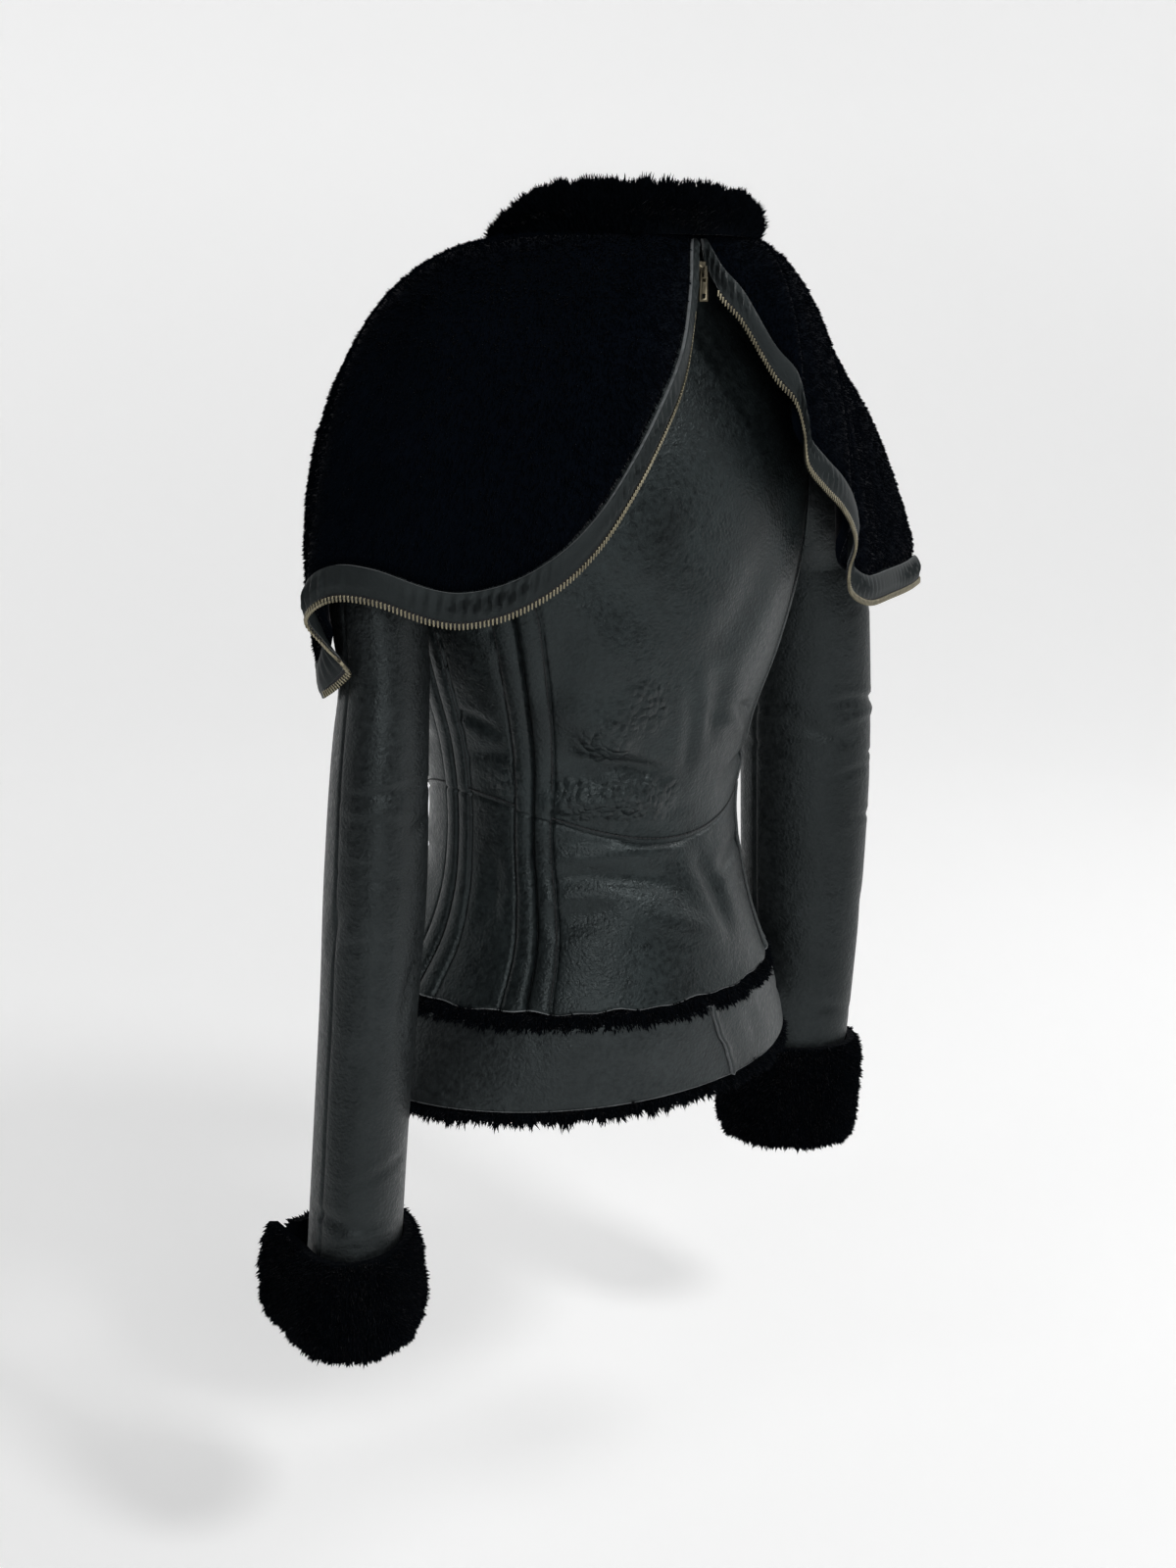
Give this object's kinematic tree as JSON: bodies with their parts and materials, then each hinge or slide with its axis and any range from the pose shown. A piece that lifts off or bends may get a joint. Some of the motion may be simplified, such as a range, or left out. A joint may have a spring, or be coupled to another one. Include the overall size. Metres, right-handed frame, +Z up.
{
  "type": "shearling coat",
  "caption": "Hooded shearling jacket in worn form: princess-seamed body, two-piece sleeves with fur cuffs, fur collar, and a hood unzipped into two halves that lie over the shoulders.",
  "frame": {"origin": "centre of the neck, level with the nape, where the wearer's neck and shoulders hold the garment up", "axes": "+Z up, -Y towards the wearer's front, +X towards the wearer's left arm"},
  "size_m": [0.5999, 0.3387, 0.7618],
  "materials": {
    "slate_leather": "fine grain, soft sheen",
    "sleeve_leather": "fine grain, soft sheen",
    "black_fur": "clipped shearling pile",
    "charcoal_binding": "matt, puckered",
    "antique_brass": "antique, satin"
  },
  "bodies": {
    "coat": {"back_centre_lower": "slate_leather", "back_centre_upper": "slate_leather", "back_side_lower_left": "slate_leather", "back_side_lower_right": "slate_leather", "back_side_upper_left": "slate_leather", "back_side_upper_right": "slate_leather", "band_fur": "black_fur", "collar": "black_fur", "cuff_left": "black_fur", "cuff_right": "black_fur", "front_lower_left": "slate_leather", "front_lower_right": "slate_leather", "front_upper_left": "slate_leather", "front_upper_right": "slate_leather", "hem_band_left": "slate_leather", "hem_band_right": "slate_leather", "hem_fur": "black_fur", "hood_binding_left": "charcoal_binding", "hood_binding_right": "charcoal_binding", "hood_left": "black_fur", "hood_right": "black_fur", "sleeve_back_left": "sleeve_leather", "sleeve_back_right": "sleeve_leather", "sleeve_front_left": "sleeve_leather", "sleeve_front_right": "sleeve_leather", "zip_left": "antique_brass", "zip_right": "antique_brass", "zip_slider": "antique_brass"},
    "pull": {"zip_pull": "antique_brass"}
  },
  "joints": [
    {"name": "pull_hinge", "type": "hinge", "parent": "coat", "child": "pull", "pos_m": [0.0088, 0.0844, -0.012], "axis": [1, 0, 0], "range_deg": [0, 110]}
  ]
}
